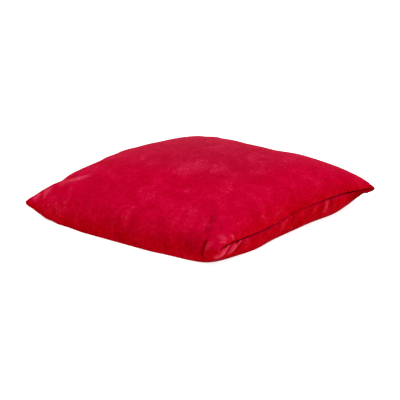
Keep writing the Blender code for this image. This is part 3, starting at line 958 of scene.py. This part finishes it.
def velvet_panel(name, facing):
    """A panel whose outer face keeps its pile marks and painted light and shade for the material to read."""
    s, t = lattice(fine_lines)
    outer, _ = cover_face(facing, fine_lines)
    outer[..., 2] += facing * lip_opening(s, t)
    inner, normals = cover_face(facing, inner_lines)
    inner = inner - normals * velvet_thickness
    set_border(inner, cover_ring(facing, inner_lines, root_inset, root_rise, root_inset, root_zip_rise))
    rings = [cover_ring(facing, fine_lines, *row) for row in COVER_RINGS]
    panel = shell(name, outer, fine_lines, rings, inner, inner_lines)
    # Points off the outer face get the deepest mark, painted shade for the walls of the seam.
    marks = np.full(len(panel.data.vertices), -1.0)
    marks[:s.size] = pile_and_painted_light_marks(facing, s, t).ravel()
    panel.data.attributes.new("pile_and_painted_light", "FLOAT", "POINT").data.foreach_set("value", marks)
    return panel


cover_top = hand_over(velvet_panel("velvet_top", 1), "cover_top_panel")
cover_bottom = hand_over(velvet_panel("velvet_bottom", -1), "cover_bottom_panel")

# %% [markdown]
# ## The inner bag and its beads
#
# Nobody sees the inner bag until the zip is open, but it follows the cover's folds from
# inside, so it is made from the same faces pushed in further. Its own seam lies behind the
# cover's allowance, and a steep wall leads from there to the velvet. The filling is the same
# again, one step further in.

# %% Inner bag and filling
bag_inset = 15 * MM
bag_depth = velvet_thickness + 2.4 * MM
bag_cloth = 0.8 * MM
bag_fullness = 50
fill_inset = 28 * MM
fill_depth = bag_depth + bag_cloth + 1.0 * MM
fill_fullness = 32
bag_lines = np.concatenate(([0], np.linspace(0.004, 0.996, 60), [1]))
# Inset and rise of each ring in millimetres: the lip, the stitch line and the allowance.
BAG_RINGS = ((0, 0.5), (0.8, 0.2), (2.5, 0.7), (8.0, 0.2), (8.0, 1.0), (3.0, 1.3))


def lining_face(facing, seam_inset, depth, fullness):
    """A face that leaves its own seam steeply and then lies against the cover."""
    points, normals = cover_face(facing, bag_lines)
    full = points - normals * depth
    s, t = lattice(bag_lines)
    share = (1 - np.abs(2 * s - 1) ** fullness) * (1 - np.abs(2 * t - 1) ** fullness)
    seam = seam_sheet(s, t, seam_inset)
    return seam + (full - seam) * share[..., None]


def bag_panel(name, facing):
    outer = lining_face(facing, bag_inset, bag_depth, bag_fullness)
    inner = lining_face(facing, bag_inset, bag_depth + bag_cloth, bag_fullness)
    loops = [ring(bag_lines, inset * MM, facing * rise * MM, inset * MM, facing * rise * MM, bag_inset)
             for inset, rise in BAG_RINGS]
    set_border(outer, loops[0])
    set_border(inner, loops[-1])
    return shell(name, outer, bag_lines, loops[1:-1], inner, bag_lines)


def filling():
    outside = {facing: lining_face(facing, fill_inset, fill_depth, fill_fullness) for facing in (1, -1)}
    points, faces, _ = closed_lattice(outside)
    return make_mesh_object("loose_beads", points, faces)


bag_top, bag_bottom, beads = bag_panel("inner_bag_top", 1), bag_panel("inner_bag_bottom", -1), filling()
hand_over(bag_top, "inner_bag_top_panel")
hand_over(bag_bottom, "inner_bag_bottom_panel")
hand_over(beads, "bead_fill")

# %% [markdown]
# ## The zip's coils and metal
#
# A coil zip has a filament wound into a spiral on each tape. Here each spiral is one tube
# swept round a helix. The slider and the pull tab keep the solid model's shape, and their
# edges are softened as on a die casting.

# %% Wound coils
coil_pitch = 1.4 * MM
wire_radius = 0.24 * MM
steps_per_turn = 10
wire_sides = 5


def unit(vectors):
    return vectors / np.linalg.norm(vectors, axis=1, keepdims=True)


def wound_coil(name, node, start_turn):
    """One filament, swept round a helix that fills the box of the solid coil."""
    low, high = (np.array(corner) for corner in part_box(node))
    middle = (low + high) / 2
    radius = min(high[1] - low[1], high[2] - low[2]) / 2 - wire_radius
    turns = (high[0] - low[0] - 2 * wire_radius) / coil_pitch
    angle = 2 * np.pi * np.linspace(0, turns, round(turns * steps_per_turn))
    centre = np.stack((low[0] + wire_radius + angle / (2 * np.pi) * coil_pitch,
                       middle[1] + radius * np.cos(angle + start_turn),
                       middle[2] + radius * np.sin(angle + start_turn)), axis=-1)
    outward = unit((centre - middle) * (0, 1, 1))
    aside = np.cross(unit(np.gradient(centre, axis=0)), outward)
    around = 2 * np.pi * np.arange(wire_sides) / wire_sides
    points = [centre + wire_radius * (math.cos(turn) * outward + math.sin(turn) * aside) for turn in around]
    grid = np.arange(len(angle) * wire_sides).reshape(wire_sides, len(angle))
    grid = np.concatenate((grid, grid[:1]))
    faces = grid_quads(grid).tolist() + [grid[:-1, 0].tolist(), grid[:-1, -1].tolist()[::-1]]
    return hand_over(make_mesh_object(name, np.concatenate(points), faces), node)


coils = [wound_coil("wound_coil_upper", "zip_coil_upper", 0.0),
         wound_coil("wound_coil_lower", "zip_coil_lower", math.pi)]

# %% Softened slider and pull tab
edge_softness = 0.16 * MM
weld_distance = 0.001 * MM


def softened(name, node, body):
    """A copy of a solid part's mesh with its flat faces cleaned and its edges rounded."""
    piece = bpy.data.objects.new(name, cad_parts[node].data.copy())
    bpy.context.collection.objects.link(piece)
    shape = bmesh.new()
    shape.from_mesh(piece.data)
    bmesh.ops.remove_doubles(shape, verts=shape.verts, dist=weld_distance)
    bmesh.ops.dissolve_limit(shape, angle_limit=math.radians(2), verts=shape.verts, edges=shape.edges)
    shape.to_mesh(piece.data)
    shape.free()
    bevel = piece.modifiers.new("soft_edges", "BEVEL")
    bevel.width = edge_softness
    bevel.segments = 2
    bevel.limit_method = "ANGLE"
    bevel.angle_limit = math.radians(35)
    piece.data.shade_smooth()
    return hand_over(piece, node, body)


zip_metal_pieces = [softened("cast_slider", "zip_slider", "slider"),
                    softened("cast_pull_tab", "zip_pull_tab", "pull_tab")]

# %% [markdown]
# ## Shared effects
#
# Two effects are used by several materials, so each is a node group that is built once.
# "Nap" mixes broad patches, where the pile lies one way or the other, with fine grain.
# "Weave" crosses two sets of threads for tape and plain cloth. Short helpers add a node, set
# its values or links, and hand back its result.

# %% Node helpers
def add(tree, kind, links=None, **values):
    """Adds a node, sets its fields and its inputs by name or number, and links it."""
    node = tree.nodes.new(kind)
    for field, value in values.items():
        setattr(node, field, value)
    for socket, source in (links or {}).items():
        if isinstance(source, (int, float, tuple)):
            node.inputs[socket].default_value = source
        else:
            tree.links.new(source, node.inputs[socket])
    return node


def maths(tree, operation, *terms, clamp=False):
    links = dict(enumerate(terms))
    return add(tree, "ShaderNodeMath", links, operation=operation, use_clamp=clamp).outputs[0]


def remap(tree, value, low, high, to_low=0.0, to_high=1.0):
    links = {"Value": value, "From Min": low, "From Max": high, "To Min": to_low, "To Max": to_high}
    return add(tree, "ShaderNodeMapRange", links).outputs["Result"]


def noise(tree, place, scale, detail, roughness, distortion=0.0):
    links = {"Vector": place, "Scale": scale, "Detail": detail, "Roughness": roughness,
             "Distortion": distortion}
    return add(tree, "ShaderNodeTexNoise", links).outputs["Fac"]


def bumped(tree, strength, distance, height):
    links = {"Strength": strength, "Distance": distance, "Height": height}
    return add(tree, "ShaderNodeBump", links).outputs["Normal"]


def mix(tree, mask, first, second, **fields):
    """Blends two colours, each given as three numbers or as a socket, by a mask."""
    ends = {label: (*end, 1) if isinstance(end, tuple) else end
            for label, end in (("A", first), ("B", second))}
    return add(tree, "ShaderNodeMix", {"Factor": mask, **ends}, data_type="RGBA", **fields).outputs["Result"]


# %% Node groups
def new_group(name, values):
    group = bpy.data.node_groups.new(name, "ShaderNodeTree")
    for label, value in values.items():
        socket = group.interface.new_socket(label, in_out="INPUT", socket_type="NodeSocketFloat")
        socket.default_value = value
    return group, group.nodes.new("NodeGroupInput").outputs


def finish_group(group, results):
    for label in results:
        kind = "NodeSocketVector" if label == "Normal" else "NodeSocketFloat"
        group.interface.new_socket(label, in_out="OUTPUT", socket_type=kind)
    add(group, "NodeGroupOutput", results)
    print("node group", group.name, "gives", ", ".join(results))
    return group


def make_nap_group():
    """Pile of velvet: masks of patches, grain and flecks, tilt masks for painted light, and a bumped normal.
    """
    group, given = new_group("Nap", {"Patch Scale": 30.0, "Grain Scale": 600.0, "Bump": 0.3})
    where = add(group, "ShaderNodeTexCoord").outputs
    patches = noise(group, where["Object"], given["Patch Scale"], 4.0, 0.62, 0.6)
    speckle = noise(group, where["Object"], 160.0, 3.0, 0.7)
    grain = noise(group, where["Object"], given["Grain Scale"], 2.0, 0.6)
    crushed = noise(group, where["Object"], 300.0, 2.0, 0.7)
    halved = maths(group, "MULTIPLY", maths(group, "ADD", patches, speckle), 0.5)
    upright = add(group, "ShaderNodeSeparateXYZ", {0: where["Normal"]}).outputs["Z"]
    return finish_group(group, {
        "Patches": remap(group, halved, 0.41, 0.59),
        "Grain": grain,
        "Flecks": remap(group, maths(group, "MULTIPLY", crushed, patches), 0.30, 0.44),
        "Upward": remap(group, upright, 0.0, 0.9),
        "Crown": remap(group, upright, 0.975, 1.0),
        "Normal": bumped(group, given["Bump"], 0.0008, maths(group, "ADD", grain, speckle)),
    })


def make_weave_group():
    """Plain weave: two crossed waves along two directions of the object."""
    group, given = new_group("Weave", {"Threads": 900.0, "Bump": 0.4})
    place = add(group, "ShaderNodeTexCoord").outputs["Object"]
    links = {"Vector": place, "Scale": given["Threads"], "Distortion": 0.4}
    waves = [add(group, "ShaderNodeTexWave", links, wave_type="BANDS", bands_direction=direction)
             for direction in ("X", "Y")]
    cross = maths(group, "MULTIPLY", waves[0].outputs["Fac"], waves[1].outputs["Fac"])
    return finish_group(group, {"Mask": cross, "Normal": bumped(group, given["Bump"], 0.0002, cross)})


nap_group = make_nap_group()
weave_group = make_weave_group()

# %% [markdown]
# ## Materials
#
# Velvet looks deep and saturated face on, because light sinks between the hairs, and paler
# at a grazing angle, because it scatters off their tips. So the base colour is a strong
# crimson with almost no mirror reflection, and the shader's sheen gives the pale edge. The
# nap group varies the crimson between two tones, as on velvet that has been stroked, and the
# marks lay the pile over or stand it up. Light is also painted into the base colour: a
# lighter tone on faces that look up, a paler one on the crown as a painted sheen, painted
# highlights on ridges, and painted shade in creases and along the seam.

# %% Velvet
def start_material(name, values):
    """A new material, its node tree and its shader's inputs, with plain values set."""
    material = bpy.data.materials.new(name)
    material.use_nodes = True
    surface = material.node_tree.nodes["Principled BSDF"].inputs
    for label, value in values.items():
        surface[label].default_value = value
    return material, material.node_tree, surface


def use_group(tree, group, values):
    return add(tree, "ShaderNodeGroup", values, node_tree=group).outputs


def make_velvet():
    material, tree, surface = start_material("crimson_velvet", {
        "Roughness": 0.9, "Specular IOR Level": 0.0, "Sheen Weight": 0.17, "Sheen Roughness": 0.22,
        "Sheen Tint": (0.5, 0.34, 0.45, 1)})
    nap = use_group(tree, nap_group, {"Patch Scale": 26.0, "Grain Scale": 520.0, "Bump": 0.5})
    # Painted light: top is lighter than side for faces that look up, crown is paler as a painted sheen, and
    # deep is pile standing up and painted shade.
    side, top, crown, deep = (mix(tree, nap["Patches"], *tones) for tones in (
        ((0.44, 0.0001, 0.002), (0.59, 0.0004, 0.012)),
        ((0.48, 0.0002, 0.018), (0.59, 0.0006, 0.036)),
        ((0.44, 0.002, 0.022), (0.53, 0.006, 0.044)),
        ((0.20, 0.0001, 0.001), (0.28, 0.0001, 0.002))))
    # Painted light by tilt: the side tone turns to the lighter top tone as the face looks up, and to the
    # crown's painted sheen.
    lean = mix(tree, nap["Upward"], side, mix(tree, nap["Crown"], top, crown))
    pale = mix(tree, nap["Flecks"], (0.78, 0.05, 0.11), (1.0, 0.17, 0.29))
    mark = add(tree, "ShaderNodeAttribute", attribute_name="pile_and_painted_light").outputs["Fac"]
    lying_pile_and_painted_light = remap(tree, mark, 0.0, 1.0, 0.0, 0.9)
    # Pale flecks of crushed pile everywhere, more of them on the crown as a painted sheen; positive marks
    # add pile lying over and painted highlights.
    flecks_and_painted_crown_sheen = remap(tree, nap["Crown"], 0.0, 1.0, 0.12, 0.29)
    pale_flecks_and_painted_light = maths(tree, "MULTIPLY_ADD", nap["Flecks"], flecks_and_painted_crown_sheen, lying_pile_and_painted_light, clamp=True)
    # Negative marks turn to the deep tone: pile standing up, and painted shade in creases and at the seam.
    velvet_tone_with_painted_light = mix(tree, remap(tree, mark, 0.0, -1.0), mix(tree, pale_flecks_and_painted_light, lean, pale), deep)
    grain = remap(tree, nap["Grain"], 0.35, 0.65, 0.84, 1.12)
    tree.links.new(mix(tree, 1.0, velvet_tone_with_painted_light, grain, blend_type="MULTIPLY"), surface["Base Color"])
    tree.links.new(nap["Normal"], surface["Normal"])
    print(material.name, "has", len(tree.nodes), "nodes")
    return material


velvet = make_velvet()


# %% Plainer materials
def make_toned(name, group, mask, sizes, tones, roughness, gloss, metallic=0.0):
    """A material of two tones, mixed by one mask of a group that also bumps it."""
    material, tree, surface = start_material(name, {
        "Roughness": roughness, "Specular IOR Level": gloss, "Metallic": metallic})
    effect = use_group(tree, group, sizes)
    tree.links.new(mix(tree, effect[mask], *tones), surface["Base Color"])
    tree.links.new(effect["Normal"], surface["Normal"])
    return material


def make_woven(name, tones, threads, bump, gloss=0.2):
    return make_toned(name, weave_group, "Mask", {"Threads": threads, "Bump": bump}, tones, 0.8, gloss)


def make_grained(name, tones, scale, bump, roughness, gloss=0.5, metallic=0.0):
    """Thread, coil, lacquered metal and beads: two tones by the nap group's grain."""
    sizes = {"Patch Scale": scale, "Grain Scale": scale * 8, "Bump": bump}
    return make_toned(name, nap_group, "Grain", sizes, tones, roughness, gloss, metallic)


# The wrong side of the velvet on the lips, the allowance and the inner face: its dark matt colour is partly
# the ground cloth's own and partly painted shade for the inside of the seam.
ground_cloth_in_painted_shade = make_woven("velvet_ground_cloth_painted_dark", ((0.12, 0.0002, 0.001), (0.19, 0.0004, 0.002)), 1300.0, 0.4,
                    gloss=0.0)
lining = make_woven("inner_bag_cotton", ((0.74, 0.72, 0.68), (0.86, 0.85, 0.82)), 1100.0, 0.5)
tape = make_woven("zip_tape_weave", ((0.30, 0.002, 0.014), (0.42, 0.004, 0.024)), 1600.0, 0.5)
thread = make_grained("sewing_thread", ((0.26, 0.001, 0.008), (0.38, 0.003, 0.016)), 300.0, 0.3,
                      roughness=0.8, gloss=0.1)
coil_plastic = make_grained("zip_coil_filament", ((0.33, 0.002, 0.016), (0.40, 0.004, 0.022)), 90.0, 0.05,
                            roughness=0.35)
lacquer = make_grained("lacquered_zip_metal", ((0.34, 0.002, 0.016), (0.42, 0.004, 0.024)), 200.0, 0.08,
                       roughness=0.34, gloss=0.3, metallic=0.2)
bead_foam = make_grained("foam_beads", ((0.80, 0.80, 0.79), (0.90, 0.90, 0.89)), 60.0, 0.8, roughness=0.7)
print(len(bpy.data.materials), "materials so far")


# %% Give each piece its material
def carried_over(*names):
    return [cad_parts[name] for name in names]


FINISHES = {
    velvet: [cover_top, cover_bottom],
    lining: [bag_top, bag_bottom],
    bead_foam: [beads],
    coil_plastic: coils,
    lacquer: zip_metal_pieces + carried_over("zip_top_stop_upper", "zip_top_stop_lower", "zip_bottom_stop"),
    tape: carried_over("zip_tape_upper", "zip_tape_lower"),
    thread: carried_over("cover_seam_thread", "inner_bag_seam_thread", "zip_stitching_upper",
                         "zip_stitching_lower"),
}
for material, things in FINISHES.items():
    for thing in things:
        # Clearing an empty list would reset the faces that show the wrong side of the cloth.
        if thing.data.materials:
            thing.data.materials.clear()
        thing.data.materials.append(material)
for wrong_side, panels in ((ground_cloth_in_painted_shade, (cover_top, cover_bottom)), (lining, (bag_top, bag_bottom))):
    for panel in panels:
        panel.data.materials.append(wrong_side)
print(sum(len(things) for things in FINISHES.values()), "pieces finished in", len(FINISHES), "materials")

# %% [markdown]
# ## Camera
#
# The photograph was taken from in front of the near corner, low down and from some way off:
# its verticals barely converge. The angles below were found by matching the outline of the
# cushion. The shift moves the picture without tilting the camera.

# %% Camera
azimuth = math.radians(-49.97)
elevation = math.radians(17.62)
roll = math.radians(0.686)
camera_distance = 3.0
pixels_per_metre = 603.0
image_width = 400
sensor_width = 36.0
aim = Vector((0, 0, 0.045))
aim_pixel = (201.3, 183.66)

back = Vector((math.sin(azimuth) * math.cos(elevation),
               -math.cos(azimuth) * math.cos(elevation), math.sin(elevation)))
right = Vector((math.cos(azimuth), math.sin(azimuth), 0))
up = back.cross(right)
rolled_right = right * math.cos(roll) - up * math.sin(roll)
rolled_up = right * math.sin(roll) + up * math.cos(roll)
camera_data = bpy.data.cameras.new("camera")
camera = bpy.data.objects.new("camera", camera_data)
bpy.context.collection.objects.link(camera)
turn = Matrix((rolled_right, rolled_up, back)).transposed().to_4x4()
camera.matrix_world = Matrix.Translation(aim + back * camera_distance) @ turn
camera_data.sensor_width = sensor_width
camera_data.lens = pixels_per_metre * camera_distance / image_width * sensor_width
camera_data.shift_x = -(aim_pixel[0] - image_width / 2) / image_width
camera_data.shift_y = (aim_pixel[1] - image_width / 2) / image_width
bpy.context.scene.camera = camera
print("lens", round(camera_data.lens), "mm at", camera_distance, "m")

# %% [markdown]
# ## Light and floor
#
# The light is that of a product studio: a broad even light all round, one large soft lamp
# above and behind to the right, which leaves the front left side a little darker, and a white
# floor. The floor shows white to the camera and still keeps a faint shadow.

# %% Lamps
WHITE = (1, 1, 1, 1)
lamp_target = Vector((0, 0, 0.05))


def area_lamp(name, place, size, power):
    data = bpy.data.lights.new(name, "AREA")
    data.size = size
    data.energy = power
    lamp = bpy.data.objects.new(name, data)
    lamp.location = place
    lamp.rotation_euler = (Vector(place) - lamp_target).to_track_quat("Z", "Y").to_euler()
    bpy.context.collection.objects.link(lamp)
    print(name, "lamp", power, "W")


area_lamp("key", (0.35, 0.5, 2.7), 1.8, 30.5)
area_lamp("front_fill", (-1.0, -2.4, 0.7), 1.6, 20.5)


# %% World and floor
def seen_directly(tree):
    """1 for what the camera sees, also in gloss or through glass, and 0 for light that bounces."""
    path = add(tree, "ShaderNodeLightPath").outputs
    glossy = maths(tree, "ADD", path["Is Camera Ray"], path["Is Glossy Ray"], clamp=True)
    return maths(tree, "ADD", glossy, path["Is Transmission Ray"], clamp=True)


def show_directly(tree, bounced, seen, output):
    """Lights the scene with one shader and shows another one to the camera."""
    shown = add(tree, "ShaderNodeMixShader", {0: seen_directly(tree), 1: bounced, 2: seen})
    tree.links.new(shown.outputs[0], tree.nodes[output].inputs["Surface"])


world = bpy.data.worlds.new("studio")
bpy.context.scene.world = world
world.use_nodes = True
sky = world.node_tree
sky_light = sky.nodes["Background"]
sky_light.inputs["Color"].default_value = WHITE
sky_light.inputs["Strength"].default_value = 0.655
white_sky = add(sky, "ShaderNodeBackground", {"Color": WHITE, "Strength": 1.0})
show_directly(sky, sky_light.outputs[0], white_sky.outputs[0], "World Output")

reach = 6.0
floor_drop = 0.3 * MM
floor_mesh = bpy.data.meshes.new("floor")
floor_mesh.from_pydata([(-reach, -reach, 0), (reach, -reach, 0), (reach, reach, 0), (-reach, reach, 0)],
                       [], [(0, 1, 2, 3)])
floor = bpy.data.objects.new("floor", floor_mesh)
floor.location.z = -floor_drop
bpy.context.collection.objects.link(floor)
floor_material, floor_tree, _ = start_material("white_floor", {
    "Base Color": (0.86, 0.86, 0.86, 1), "Roughness": 0.9})
plain_floor = floor_tree.nodes["Principled BSDF"].outputs[0]
glow = add(floor_tree, "ShaderNodeEmission", {"Color": WHITE, "Strength": 0.74})
bright = add(floor_tree, "ShaderNodeAddShader", {0: plain_floor, 1: glow.outputs[0]})
show_directly(floor_tree, plain_floor, bright.outputs[0], "Material Output")
floor_mesh.materials.append(floor_material)
floor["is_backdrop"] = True
bpy.context.scene.view_settings.view_transform = "Standard"
print("two lamps, a white sky and a floor", 2 * reach, "m wide")

# %% [markdown]
# ## Finish
#
# The last cell prints the boxes of the solid model and of what was made from it.

# %% Sizes and finish
made_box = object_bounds()
for label, box in (("solid box", solid_box), ("made box", made_box)):
    print(label, [[round(value / MM, 1) for value in corner] for corner in box])
